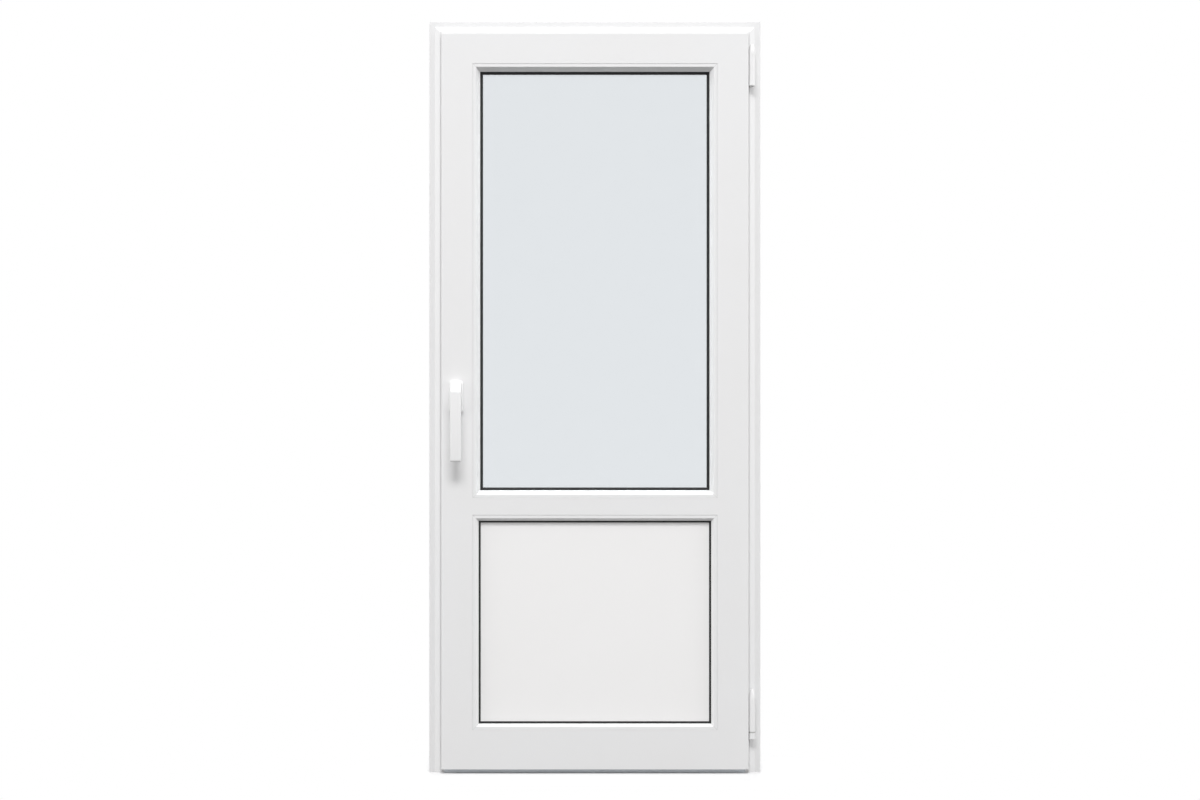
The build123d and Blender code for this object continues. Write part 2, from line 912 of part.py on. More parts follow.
def striker(height):
    """A keeper plate whose lip stands above the cam and leaves its way out of the frame open."""
    room_edge = fitting_middle - cam_radius
    with BuildPart() as keeper:
        with Locations((lock_wall, room_edge, height)):
            Box(
                striker_thickness,
                striker_width,
                striker_height,
                align=(Align.MIN, Align.MIN, Align.CENTER),
            )
        with Locations((lock_wall + striker_thickness, room_edge, height + striker_mouth)):
            Box(
                striker_lip_rise,
                striker_lip_width,
                striker_height / 2 - striker_mouth,
                align=(Align.MIN, Align.MIN, Align.MIN),
            )
        lip = keeper.edges().filter_by(Axis.Z).sort_by(Axis.X)[-2:]
        chamfer(lip, length=joint_round)
    return keeper.part


for place, height in zip(("lower", "middle", "upper"), lock_heights):
    save(striker(height), f"striker_{place}")


# Handle: a rose on the lock stile and a grip that turns on the spindle

handle_x = sash_field.left + spindle_inset
rose_plane = Plane(origin=(handle_x, sash_room, spindle_height), x_dir=(1, 0, 0), z_dir=(0, -1, 0))

with BuildPart() as handle_rose:
    with BuildSketch(rose_plane):
        RectangleRounded(rose_width, rose_height, rose_corner)
    extrude(amount=rose_thickness)
    chamfer(handle_rose.faces().sort_by(Axis.Y)[0].edges(), length=rose_bevel)
    with BuildSketch(rose_plane.offset(rose_thickness - boss_depth)):
        Circle(boss_radius + pin_play)
    extrude(amount=boss_depth, mode=Mode.SUBTRACT)
save(handle_rose.part, "handle_rose")

grip_plane = Plane(origin=(handle_x, sash_room, spindle_height), x_dir=(0, -1, 0), z_dir=(-1, 0, 0))
grip_start = rose_thickness + handle_gap
grip_back = grip_reach - grip_thickness
shoulder_end = neck_top - shoulder_drop

with BuildPart() as handle_grip:
    with BuildSketch(grip_plane):
        with BuildLine():
            neck_line = Line((grip_start, -neck_bottom), (grip_start, neck_top))
            shoulder = TangentArc(
                (grip_start, neck_top), (grip_reach, shoulder_end), tangent=(1, -shoulder_slope)
            )
            front = ThreePointArc(
                shoulder @ 1,
                (grip_reach + grip_bow, (shoulder_end - grip_length) / 2),
                (grip_reach, -grip_length),
            )
            foot = Line(front @ 1, (grip_back, -grip_length))
            back = Line(foot @ 1, (grip_back, -neck_bottom - grip_back / 2))
            throat = RadiusArc(back @ 1, (grip_back / 2 + grip_start / 2, -neck_bottom), grip_back / 2)
            Line(throat @ 1, neck_line @ 0)
        make_face()
    extrude(amount=grip_width / 2, both=True)
    flanks = handle_grip.faces().filter_by(Axis.X)
    rims = [rim for face in flanks for rim in face.edges() if rim.center().Y < sash_room - grip_start - handle_gap]
    fillet(rims, radius=grip_round)
    with BuildSketch(rose_plane.offset(rose_thickness - boss_depth + handle_gap)):
        Circle(boss_radius)
    extrude(amount=boss_depth)
save(handle_grip.part, "handle_grip")
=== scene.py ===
# %% [markdown]
# # A white tilt-and-turn door
#
# The construction comes ready made: every profile, pane, gasket and hinge is a solid with its true size
# and place. This lesson gives each of them the finish that the real one has, adds the small fasteners and
# fibres that no solid carries, and sets up a plain studio round the door.
#
# The frame is loaded first, because everything that follows takes its place from it. X runs towards the
# hinges, Y points outdoors and Z is up, all in metres.

# %% Load the frame
import json
import math

import bmesh
import bpy
from mathutils import Matrix, Vector


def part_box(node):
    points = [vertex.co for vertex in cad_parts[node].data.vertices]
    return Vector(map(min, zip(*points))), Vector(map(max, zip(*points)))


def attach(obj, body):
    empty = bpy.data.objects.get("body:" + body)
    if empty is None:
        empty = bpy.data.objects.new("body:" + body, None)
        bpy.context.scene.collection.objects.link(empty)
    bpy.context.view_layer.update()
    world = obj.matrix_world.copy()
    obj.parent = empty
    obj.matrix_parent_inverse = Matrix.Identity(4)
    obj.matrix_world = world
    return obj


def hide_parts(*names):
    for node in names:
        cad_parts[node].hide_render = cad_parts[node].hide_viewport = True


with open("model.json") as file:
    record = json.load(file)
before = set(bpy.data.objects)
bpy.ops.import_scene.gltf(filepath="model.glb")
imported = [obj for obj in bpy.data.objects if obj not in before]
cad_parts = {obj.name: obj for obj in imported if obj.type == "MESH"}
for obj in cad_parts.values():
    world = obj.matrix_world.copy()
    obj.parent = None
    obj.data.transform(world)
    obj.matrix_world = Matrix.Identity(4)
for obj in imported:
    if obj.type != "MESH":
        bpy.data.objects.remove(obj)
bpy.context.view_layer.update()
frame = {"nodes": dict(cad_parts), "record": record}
nodes = frame["nodes"]

# %% [markdown]
# ## Measures to work from
#
# A finish often has to know where it is: a weld runs along the diagonal of a corner, a row of holes runs
# down the middle of a spacer. Those places are read from the boxes of the solids, so that a door of
# another size would be dressed just as well.

# %% Measure the door
jamb_low, jamb_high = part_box("frame_hinge_jamb")
bead_boxes = {field: (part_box(f"{field}_bead_left")[0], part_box(f"{field}_bead_right")[1])
              for field in ("upper", "lower")}
half_width = jamb_high.x
door_top = jamb_high.z
sash_face_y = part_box("sash_top_rail")[0].y
print(f"door {2 * half_width:.3f} m wide, {door_top:.3f} m high, room face at y {sash_face_y:.4f}")

# %% [markdown]
# ## Shader maths as plain expressions
#
# A finish is a small sum: a base value, plus a little noise, minus a line where two pieces meet. Written
# node by node such a sum is hard to read. `Value` wraps one socket and lends it Python's operators, so
# that an expression adds its own Math nodes. `Finish` owns one node tree, and its method `node` makes any
# other node.

# %% A value in a shader
class Value:
    """One socket that carries a number, a vector or a colour."""

    def __init__(self, finish, socket):
        self.finish = finish
        self.socket = socket

    def math(self, operation, *values, clamp=False):
        settings = {"operation": operation, "use_clamp": clamp}
        return self.finish.node("ShaderNodeMath", settings, dict(enumerate(values)))

    def __add__(self, other):
        return self.math("ADD", self, other)

    def __sub__(self, other):
        return self.math("SUBTRACT", self, other)

    def __rsub__(self, other):
        return self.math("SUBTRACT", other, self)

    def __mul__(self, other):
        return self.math("MULTIPLY", self, other)

    def __truediv__(self, other):
        return self.math("DIVIDE", self, other)

    def __mod__(self, other):
        return self.math("FLOORED_MODULO", self, other)

    def __abs__(self):
        return self.math("ABSOLUTE", self)

    __radd__ = __add__
    __rmul__ = __mul__

    def most(self, other):
        return self.math("MAXIMUM", self, other)

    def length_with(self, other):
        return self.math("SQRT", self * self + other * other)

    def above(self, limit):
        return self.math("GREATER_THAN", self, limit)

    def within(self, reach):
        """1 where this value is 0, falling to 0 at reach."""
        return 1 - self.math("DIVIDE", self, reach, clamp=True)


# %% A tree of nodes
MIX_FACTOR, MIX_FIRST, MIX_SECOND, MIX_COLOUR = 0, 6, 7, 2


class Finish:
    """A material, or the world, and the nodes in its tree."""

    def __init__(self, owner):
        owner.use_nodes = True
        self.owner = owner
        self.tree = owner.node_tree
        self.tree.nodes.clear()

    def node(self, kind, settings=None, sockets=None, output=0):
        """Add a node: first its settings, then the values or links of its sockets."""
        made = self.tree.nodes.new(kind)
        for key, setting in (settings or {}).items():
            setattr(made, key, setting)
        for key, given in (sockets or {}).items():
            if isinstance(given, Value):
                self.tree.links.new(given.socket, made.inputs[key])
            else:
                made.inputs[key].default_value = given
        return Value(self, made.outputs[output])

    def place(self, stretch=(1, 1, 1)):
        """The piece's own coordinates, in metres, stretched along its axes."""
        here = self.node("ShaderNodeTexCoord", output="Object")
        return self.node("ShaderNodeMapping", None, {"Vector": here, "Scale": stretch})

    def axes(self):
        """The three coordinates as three values."""
        here = self.node("ShaderNodeTexCoord", output="Object")
        return [self.node("ShaderNodeSeparateXYZ", None, {0: here}, output=axis) for axis in "XYZ"]

    def noise(self, size, stretch=(1, 1, 1), detail=2.0, rough=0.5):
        """Noise with spots of about that size, in metres, from 0 to 1 round 0.5."""
        sockets = {"Vector": self.place(stretch), "Scale": 1 / size, "Detail": detail, "Roughness": rough}
        return self.node("ShaderNodeTexNoise", None, sockets)

    def blend(self, first, second, factor):
        """A colour between two colours."""
        sockets = {MIX_FACTOR: factor, MIX_FIRST: first, MIX_SECOND: second}
        return self.node("ShaderNodeMix", {"data_type": "RGBA"}, sockets, MIX_COLOUR)

    def bump(self, height, depth):
        """A normal for a height from 0 to 1 that stands for a depth in metres."""
        return self.node("ShaderNodeBump", None, {"Height": height, "Strength": 1.0, "Distance": depth})

    def surface(self, shader, kind="ShaderNodeOutputMaterial"):
        """Show this shader, and return the material or world that now wears it."""
        self.tree.links.new(shader.socket, self.tree.nodes.new(kind).inputs["Surface"])
        return self.owner

    def principled(self, **sockets):
        """The usual shader. Sockets are named with underscores for spaces."""
        named = {key.replace("_", " "): given for key, given in sockets.items()}
        return self.node("ShaderNodeBsdfPrincipled", None, named)


def new_finish(name):
    return Finish(bpy.data.materials.new(name))


def grey(level, warm=0.0):
    """A near-neutral colour: warm above 0 leans to yellow, below 0 to blue."""
    return (level * (1 + warm), level, level * (1 - warm), 1.0)


print("shader tools: Value and Finish")

# %% [markdown]
# ## White plastic profile
#
# The profiles are extruded, so their satin skin carries very fine drawing lines along the length and no
# grain across it. Stretched noise gives those lines: the spots are a millimetre wide and a hand long. The
# corners of the frame and the sash are welded on the diagonal, and the trimmed weld stays as a hair-thin
# shallow groove. All the upper corners share one diagonal, because frame and sash have the same step on
# both sides, so one distance serves them all.

# %% White profile, upright or level
PLASTIC_LEVEL = 0.80
WELD_HALF = 0.0007
DRAWN_UPRIGHT = (1, 1, 0.008)
DRAWN_LEVEL = (0.008, 1, 1)


def corner_distance(finish, half, middle_height, half_height):
    """Distance across the face from the diagonals of a rectangle round the Z axis."""
    x, _, z = finish.axes()
    return abs((half - abs(x)) - (half_height - abs(z - middle_height))) / math.sqrt(2)


def white_profile(name, stretch):
    finish = new_finish(name)
    lines = finish.noise(0.0011, stretch, detail=3)
    cloud = finish.noise(0.16, detail=3)
    weld = corner_distance(finish, half_width, 0, door_top).within(WELD_HALF)
    tint = finish.blend(grey(PLASTIC_LEVEL, -0.006), grey(PLASTIC_LEVEL - 0.025, 0.004), cloud)
    tint = finish.blend(tint, grey(PLASTIC_LEVEL - 0.14), weld * 0.15)
    shine = 0.27 + lines * 0.10 + cloud * 0.05
    normal = finish.bump(lines * 0.35 - weld * 0.2, 0.00012)
    return finish.surface(finish.principled(Base_Color=tint, Roughness=shine, Normal=normal))


profile_upright = white_profile("profile_upright", DRAWN_UPRIGHT)
profile_level = white_profile("profile_level", DRAWN_LEVEL)
print("finishes:", profile_upright.name, profile_level.name)

# %% [markdown]
# ## Glazing beads
#
# The beads are of the same plastic but are cut and clipped in, not welded, so each mitre shows as a fine
# open line. The two fields have their own diagonals, and the nearer of the two is the one that counts.

# %% White bead
CUT_HALF = 0.0004


def field_corner(finish, field):
    low, high = bead_boxes[field]
    return corner_distance(finish, high.x, (low.z + high.z) / 2, (high.z - low.z) / 2)


def white_bead(name, stretch):
    finish = new_finish(name)
    lines = finish.noise(0.0009, stretch, detail=3)
    cloud = finish.noise(0.11, detail=2)
    cut = field_corner(finish, "upper").within(CUT_HALF).most(field_corner(finish, "lower").within(CUT_HALF))
    tint = finish.blend(grey(PLASTIC_LEVEL + 0.005, -0.006), grey(PLASTIC_LEVEL - 0.02, 0.003), cloud)
    tint = finish.blend(tint, grey(0.28), cut * 0.8)
    shine = 0.24 + lines * 0.09 + cloud * 0.05
    normal = finish.bump(lines * 0.3 - cut, 0.00012)
    return finish.surface(finish.principled(Base_Color=tint, Roughness=shine, Normal=normal))


bead_upright = white_bead("bead_upright", DRAWN_UPRIGHT)
bead_level = white_bead("bead_level", DRAWN_LEVEL)
print("finishes:", bead_upright.name, bead_level.name)

# %% [markdown]
# ## Sealing rubber and brush pile
#
# Extruded rubber is almost black, with a dry bloom that lightens it in patches and a skin that is never
# quite smooth. The brush is denser and duller, with its fibres standing upright, so its noise is
# stretched up.

# %% Rubber and pile
def sealing_rubber():
    finish = new_finish("sealing_rubber")
    skin = finish.noise(0.0006, detail=2)
    bloom = finish.noise(0.05, detail=4)
    tint = finish.blend(grey(0.010, -0.02), grey(0.016, -0.02), bloom)
    shine = 0.56 + bloom * 0.16 + skin * 0.12
    normal = finish.bump(skin, 0.00006)
    return finish.surface(finish.principled(
        Base_Color=tint, Roughness=shine, Normal=normal, Specular_IOR_Level=0.3))


def brush_pile():
    finish = new_finish("brush_pile")
    fibre = finish.noise(0.0005, (1, 1, 0.05), detail=2)
    clump = finish.noise(0.006, (1, 1, 0.2), detail=3)
    tint = finish.blend(grey(0.05), grey(0.15, 0.01), fibre * 0.6 + clump * 0.4)
    normal = finish.bump(fibre, 0.0003)
    return finish.surface(finish.principled(Base_Color=tint, Roughness=0.75 + fibre * 0.2, Normal=normal))


rubber = sealing_rubber()
pile = brush_pile()
print("finishes:", rubber.name, pile.name)

# %% [markdown]
# ## Glass unit
#
# Float glass is clear with a faint cool cast, and it is drawn over rollers, so its reflections swim a
# little: a bump of a few hundredths of a millimetre over a hand's width. Lamps are let straight through
# by a transparent shader for shadow rays. Otherwise the panes would throw the shadow of a board. The
# spacer between the panes is a rolled metal strip with a row of pin holes down its middle, which let the
# drying agent inside it breathe. Each hole is painted dark grey, as painted shade for its dark inside.

# %% Glass and spacer
HOLE_PITCH = 0.005
HOLE_RADIUS = 0.0006


def clear_glass():
    finish = new_finish("clear_glass")
    roll = finish.noise(0.22, (1, 1, 0.5), detail=1)
    film = finish.noise(0.05, detail=4)
    normal = finish.bump(roll, 0.00003)
    tint = finish.blend((0.864, 0.882, 0.897, 1), (0.868, 0.885, 0.899, 1), film)
    pane = finish.principled(
        Base_Color=tint, Roughness=film * 0.02, Normal=normal, Transmission_Weight=1.0, IOR=1.5)
    open_air = finish.node("ShaderNodeBsdfTransparent", None, {"Color": (0.86, 0.9, 0.91, 1)})
    lamp_ray = finish.node("ShaderNodeLightPath", output="Is Shadow Ray")
    return finish.surface(finish.node("ShaderNodeMixShader", None, {0: lamp_ray, 1: pane, 2: open_air}))


def spacer_metal():
    finish = new_finish("spacer_metal")
    x, y, z = finish.axes()
    low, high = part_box("glass_spacer")
    across = y - (low.y + high.y) / 2
    run_x = abs(x % HOLE_PITCH - HOLE_PITCH / 2)
    run_z = abs(z % HOLE_PITCH - HOLE_PITCH / 2)
    shaded_holes = across.length_with(run_x).within(HOLE_RADIUS).most(across.length_with(run_z).within(HOLE_RADIUS))
    lines = finish.noise(0.0008, detail=3)
    # Painted shade: each pin hole is painted dark grey for its dark inside, and the bump sinks it a little.
    tint = finish.blend(grey(0.62, -0.01), grey(0.08), shaded_holes)
    shine = 0.32 + lines * 0.16
    normal = finish.bump(lines * 0.2 - shaded_holes, 0.0002)
    return finish.surface(finish.principled(Base_Color=tint, Metallic=1.0, Roughness=shine, Normal=normal))


glass = clear_glass()
spacer = spacer_metal()
print("finishes:", glass.name, spacer.name)

# %% [markdown]
# ## Panel
#
# The lower field is closed by a sandwich: two white sheets on a foam core. The sheet is a shade warmer
# and flatter than the profiles, with the slight orange peel of a rolled sheet. The core shows only at a
# cut edge, as fine cells.

# %% Panel sheet and foam
PANEL_LEVEL = 0.865


def panel_sheet():
    finish = new_finish("panel_sheet")
    peel = finish.noise(0.0016, detail=2)
    cloud = finish.noise(0.25, detail=3)
    tint = finish.blend(grey(PANEL_LEVEL, 0.004), grey(PANEL_LEVEL - 0.02, 0.008), cloud)
    shine = 0.40 + cloud * 0.08 + peel * 0.05
    normal = finish.bump(peel, 0.00005)
    return finish.surface(finish.principled(Base_Color=tint, Roughness=shine, Normal=normal))


def panel_foam():
    finish = new_finish("panel_foam")
    cells = finish.node("ShaderNodeTexVoronoi", None, {"Vector": finish.place(), "Scale": 900.0})
    tint = finish.blend((0.78, 0.74, 0.6, 1), (0.62, 0.58, 0.46, 1), cells)
    normal = finish.bump(cells, 0.0004)
    return finish.surface(finish.principled(Base_Color=tint, Roughness=0.85 + cells * 0.1, Normal=normal))


sheet = panel_sheet()
foam = panel_foam()
print("finishes:", sheet.name, foam.name)

# %% [markdown]
# ## Threshold
#
# The tread is an anodised extrusion: metal, but with a dull grey-blue oxide skin, drawing lines along its
# length and a little scuffing on top from shoes. Under it lies a black plastic bar that keeps the cold
# out.

# %% Anodised tread and its bar
def anodised_tread():
    finish = new_finish("anodised_tread")
    lines = finish.noise(0.0007, (0.006, 1, 1), detail=4)
    scuff = finish.noise(0.03, (0.4, 1, 1), detail=5, rough=0.65)
    tint = finish.blend(grey(0.48, -0.055), grey(0.60, -0.05), lines * 0.6 + scuff * 0.4)
    shine = 0.36 + scuff * 0.22
    normal = finish.bump(lines, 0.00008)
    return finish.surface(finish.principled(Base_Color=tint, Metallic=0.85, Roughness=shine, Normal=normal))


def black_plastic():
    finish = new_finish("black_plastic")
    fibre = finish.noise(0.0012, (0.1, 1, 1), detail=3)
    tint = finish.blend(grey(0.03), grey(0.06), fibre)
    return finish.surface(finish.principled(
        Base_Color=tint, Roughness=0.5 + fibre * 0.2, Normal=finish.bump(fibre, 0.0001)))


tread = anodised_tread()
bar = black_plastic()
print("finishes:", tread.name, bar.name)

# %% [markdown]
# ## Fittings
#
# Handle and hinges are die castings with a baked white coat: glossier than the plastic, with the fine
# ripple of a powder that has flowed. The hidden fittings are zinc plated steel, whose bright skin drifts
# between blue and straw and keeps the faint lines of the rolled strip. The lock's faceplate has a long
# slot round each cam, which its finish paints near-black: painted shade for the dark inside of the slot.
# The stay arm ends in a knuckle that is coated like the hinges.

# %% White coat and zinc
FITTING_SEAT = 0.003
PLATE_SKIN = 0.0005
SLOT_HALF = 0.024
SLOT_RADIUS = 0.0036
COAT_LEVEL = 0.81


def white_coat():
    finish = new_finish("white_coat")
    ripple = finish.noise(0.0014, detail=2)
    cloud = finish.noise(0.03, detail=2)
    tint = finish.blend(grey(COAT_LEVEL + 0.01, -0.004), grey(COAT_LEVEL - 0.01, 0.004), cloud)
    shine = 0.26 + ripple * 0.08
    normal = finish.bump(ripple, 0.00004)
    return finish.surface(finish.principled(
        Base_Color=tint, Roughness=shine, Normal=normal, Coat_Weight=0.15, Coat_Roughness=0.12))


def zinc_plate(name, shaded_openings=None, coated=None):
    """Plated steel. Functions of the finish say where it gets painted shade, near-black, and where it is
    coated white.
    """
    finish = new_finish(name)
    metal = 1.0
    lines = finish.noise(0.0005, (1, 1, 0.03), detail=3)
    drift = finish.noise(0.025, detail=3)
    tint = finish.blend((0.42, 0.445, 0.48, 1), (0.50, 0.48, 0.43, 1), drift)
    shine = 0.22 + lines * 0.14 + drift * 0.08
    if shaded_openings:
        # Painted shade: the slots are painted near-black for the dark inside that would show through them.
        tint = finish.blend(tint, grey(0.004), shaded_openings(finish))
    if coated:
        white_part = coated(finish)
        tint = finish.blend(tint, grey(COAT_LEVEL), white_part)
        metal = 1 - white_part
    normal = finish.bump(lines, 0.00004)
    return finish.surface(finish.principled(Base_Color=tint, Metallic=metal, Roughness=shine, Normal=normal))


def cam_slots(finish):
    """The slots in which the cams slide, on the face of the plate only."""
    x, y, z = finish.axes()
    low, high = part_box("gear_faceplate")
    across = y - (low.y + high.y) / 2
    slots = 0 * x
    for place in ("lower", "middle", "upper"):
        striker_low, striker_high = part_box(f"striker_{place}")
        beyond = (abs(z - (striker_low.z + striker_high.z) / 2) - SLOT_HALF).most(0)
        slots = slots.most(1 - beyond.length_with(across).above(SLOT_RADIUS))
    return slots * x.above(high.x - FITTING_SEAT - PLATE_SKIN)


def hinge_knuckle(finish):
    """1 round the hinge axis, as far out as the barrel of the hinge."""
    x, y, _ = finish.axes()
    low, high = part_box("stay_bearing")
    barrel = (high.x - low.x) / 2
    from_axis = (x - (low.x + barrel)).length_with(y - (low.y + barrel))
    return 1 - from_axis.above(barrel + PLATE_SKIN)


coat = white_coat()
zinc = zinc_plate("zinc_plate")
lock_zinc = zinc_plate("lock_zinc", shaded_openings=cam_slots)
stay_zinc = zinc_plate("stay_zinc", coated=hinge_knuckle)
print("finishes:", coat.name, zinc.name, lock_zinc.name, stay_zinc.name)

# %% [markdown]
# ## Dress the solids
#
# Each solid names a material slot in the record. Most slots have one finish. Profile and bead have two,
# and the longer side of a solid's box says whether its drawing lines run up or along. Faceplate and stay
# arm have their own kind of zinc.

# %% Give every node its finish
finishes = {
    "black_rubber": rubber,
    "brush_pile": pile,
    "clear_glass": glass,
    "spacer_metal": spacer,
    "panel_skin": sheet,
    "panel_foam": foam,
    "threshold_metal": tread,
    "threshold_plastic": bar,
    "white_metal": coat,
    "steel": zinc,
}
singular = {"gear_faceplate": lock_zinc, "stay_arm": stay_zinc}
drawn = {
    "white_profile": (profile_upright, profile_level),
    "white_bead": (bead_upright, bead_level),
}


def finish_for(name, slot):
    if name in singular:
        return singular[name]
    if slot not in drawn:
        return finishes[slot]
    low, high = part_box(name)
    upright, level = drawn[slot]
    return upright if high.z - low.z > high.x - low.x else level


for subpart in frame["record"]["subparts"]:
    solid = nodes[subpart["node"]]
    dressed = finish_for(subpart["node"], subpart["material_slot"])
    for slot in solid.material_slots:
        slot.material = dressed

# %% [markdown]
# ## Mesh tools
#
# The solids stop at the size of a plate or a bar. What holds a plate is a screw, a brush is made of
# fibres, and a grip has an edge that suits a hand: those shapes are meshes. Most are drawn at the origin,
# standing up along their own w axis, from a plain start that is inset, lifted and bevelled. A `seat` then
# turns and moves each to its place, with w pointing out of the surface it stands on.

# %% Drawing and placing
SHARP_ANGLE = math.radians(22)
TINY = 1e-6
U, W = 0, 2


def block(size):
    """A box with its foot on the plane w = 0."""
    mesh = bmesh.new()
    stand = Matrix.Translation((0, 0, size[W] / 2)) @ Matrix.Diagonal((*size, 1))
    bmesh.ops.create_cube(mesh, size=1.0, matrix=stand)
    return mesh


def edges_at(mesh, axis, level):
    """The edges that lie where a coordinate has this value."""
    return [edge for edge in mesh.edges if all(abs(vert.co[axis] - level) < TINY for vert in edge.verts)]


def edges_along(mesh, axis):
    """The straight edges that run along an axis."""
    return [edge for edge in mesh.edges
            if abs((edge.verts[1].co - edge.verts[0].co).normalized()[axis]) > 1 - TINY]


def soften(mesh, edges, radius, steps=6):
    """Round some edges."""
    bmesh.ops.bevel(mesh, geom=edges, offset=radius, offset_type="OFFSET", affect="EDGES", segments=steps,
                    profile=0.5, material=-1)


def top_face(mesh):
    return max(mesh.faces, key=lambda face: face.calc_center_median().z)


def step_up(mesh, face, inset, rise):
    """Inset a face and lift what is inside, which stays the same face."""
    bmesh.ops.inset_individual(mesh, faces=[face], thickness=inset, depth=rise, use_even_offset=True)


def seat_on(place, out, along=(0, 0, 1)):
    """A seat at a place, with w along out and v along the given direction."""
    w, v = Vector(out), Vector(along)
    u = v.cross(w)
    turn = Matrix((u, v, w)).transposed()
    return Matrix.Translation(Vector(place)) @ turn.to_4x4()


def only_verts(geometry):
    return [part for part in geometry if isinstance(part, bmesh.types.BMVert)]


def copy_to(mesh, seats):
    """Put a copy of the mesh on every seat and take away the one at the origin."""
    pattern = mesh.verts[:] + mesh.edges[:] + mesh.faces[:]
    for seat in seats:
        copied = bmesh.ops.duplicate(mesh, geom=pattern)["geom"]
        bmesh.ops.transform(mesh, matrix=seat, verts=only_verts(copied))
    bmesh.ops.delete(mesh, geom=only_verts(pattern), context="VERTS")


print("mesh tools: block, soften, step_up, seat_on, copy_to")

# %% [markdown]
# A finished mesh becomes an object at the origin. It is shaded smooth, but flat lids with many corners
# and edges that really are sharp keep their crisp line.

# %% From a mesh to a piece of the door
def is_sharp(edge):
    lid = any(len(face.verts) > 4 for face in edge.link_faces)
    return lid or edge.calc_face_angle(math.pi) > SHARP_ANGLE


def mesh_piece(name, mesh, material):
    bmesh.ops.recalc_face_normals(mesh, faces=mesh.faces)
    for face in mesh.faces:
        face.smooth = True
    for edge in mesh.edges:
        edge.smooth = not is_sharp(edge)
    data = bpy.data.meshes.new(name)
    mesh.to_mesh(data)
    mesh.free()
    data.materials.append(material)
    piece = bpy.data.objects.new(name, data)
    bpy.context.scene.collection.objects.link(piece)
    return piece


def add_piece(name, mesh, material, body):
    """A piece of the door: it rides on a body and wears one of the record's slots."""
    piece = mesh_piece(name, mesh, material)
    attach(piece, body)
    print(f"{name}: {len(piece.data.polygons)} faces on {body}")
    return piece


print("piece tools: mesh_piece, add_piece")

# %% [markdown]
# ## Screw heads
#
# Faceplate, corner plate, stay rail and strikers are screwed down. A head starts as a short cylinder. Two
# insets that rise make the flat dome, a third one marks the socket, whose corners are pulled into six
# lobes, and a last one sinks its floor. They are seen when the door is open, on the edges of the sash and
# in the rebate of the frame.

# %% One screw head
HEAD_RADIUS = 0.0040
HEAD_CORNERS = 36
HEAD_SINK = 0.0002
HEAD_RIM = 0.0003
DOME_STEPS = [(0.0004, 0.0004), (0.0008, 0.0003)]
SOCKET_LAND = 0.0009
SOCKET_TAPER = 0.000114
SOCKET_DEPTH = 0.0008
LOBES, LOBE_DEPTH = 6, 0.14


def screw_head():
    mesh = bmesh.new()
    stand = Matrix.Translation((0, 0, (HEAD_RIM - HEAD_SINK) / 2))
    bmesh.ops.create_cone(mesh, cap_ends=True, segments=HEAD_CORNERS, radius1=HEAD_RADIUS,
                          radius2=HEAD_RADIUS, depth=HEAD_SINK + HEAD_RIM, matrix=stand)
    top = top_face(mesh)
    for inset, rise in DOME_STEPS:
        step_up(mesh, top, inset, rise)
    step_up(mesh, top, SOCKET_LAND, 0)
    for vert in top.verts:
        lobe = 1 + LOBE_DEPTH * math.cos(LOBES * math.atan2(vert.co.y, vert.co.x))
        bmesh.ops.scale(mesh, vec=(lobe, lobe, 1), verts=[vert])
    step_up(mesh, top, SOCKET_TAPER, -SOCKET_DEPTH)
    return mesh


def screw_row(name, places, out, body, along=(0, 0, 1)):
    mesh = screw_head()
    copy_to(mesh, [seat_on(place, out, along) for place in places])
    return add_piece(name, mesh, zinc, body)


def spread(start, end, count):
    """Evenly spaced values from start to end."""
    return [start + (end - start) * step / (count - 1) for step in range(count)]


print("screw head:", HEAD_CORNERS, "corners")

# %% Rows of screws
PLATE_END, PLATE_SCREWS = 0.035, 8
CORNER_FOOT, CORNER_END, CORNER_SCREWS = 0.044, 0.014, 3
RAIL_END = 0.012
STRIKER_EDGE, STRIKER_HALF_PITCH = 0.0085, 0.025

plate_low, plate_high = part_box("gear_faceplate")
corner_low, corner_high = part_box("corner_plate")
rail_low, rail_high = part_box("stay_rail")
strikers = [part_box(f"striker_{place}") for place in ("lower", "middle", "upper")]
fitting_y = (plate_low.y + plate_high.y) / 2

lock_face = plate_high.x - FITTING_SEAT
plate_heights = spread(plate_low.z + PLATE_END, plate_high.z - PLATE_END, PLATE_SCREWS)
screw_row("faceplate_screws", [(lock_face, fitting_y, height) for height in plate_heights],
          (-1, 0, 0), "sash")

hinge_face = corner_low.x + FITTING_SEAT
corner_heights = spread(corner_low.z + CORNER_FOOT, corner_high.z - CORNER_END, CORNER_SCREWS)
screw_row("corner_plate_screws", [(hinge_face, fitting_y, height) for height in corner_heights],
          (1, 0, 0), "sash")

rail_ends = (rail_low.x + RAIL_END, rail_high.x - RAIL_END)
screw_row("stay_rail_screws", [(across, fitting_y, rail_high.z) for across in rail_ends],
          (0, 0, 1), "sash", along=(1, 0, 0))

striker_places = [(low.x + FITTING_SEAT, high.y - STRIKER_EDGE, (low.z + high.z) / 2 + offset)
                  for low, high in strikers for offset in (-STRIKER_HALF_PITCH, STRIKER_HALF_PITCH)]
screw_row("striker_screws", striker_places, (1, 0, 0), "frame")

# %% [markdown]
# ## Bristles
#
# The brush under the bottom rail stands in as a plain bar. Here it becomes a holder strip with rows of
# fibres, each a thin three-sided cone that a sheared matrix leans over. A sine with a large factor
# scatters the lean without any random numbers, so that every run grows the same brush.

# %% Brush
FIBRE_PITCH = 0.0015
FIBRE_ROWS = 4
FIBRE_ROOT = 0.00032
FIBRE_TIP = 0.00014
FIBRE_LEAN = 0.07
FIBRE_SPREAD = 0.325
FIBRE_SHIFT = 0.3
FIBRE_UNEVEN = 0.0003
HOLDER_BOTTOM = 0.0075
HOLDER_EDGE = 0.001


def scatter(seed):
    """A repeatable value from -1 to 1."""
    return 2 * (math.sin(seed * 127.1 + 311.7) * 43758.5453 % 1) - 1


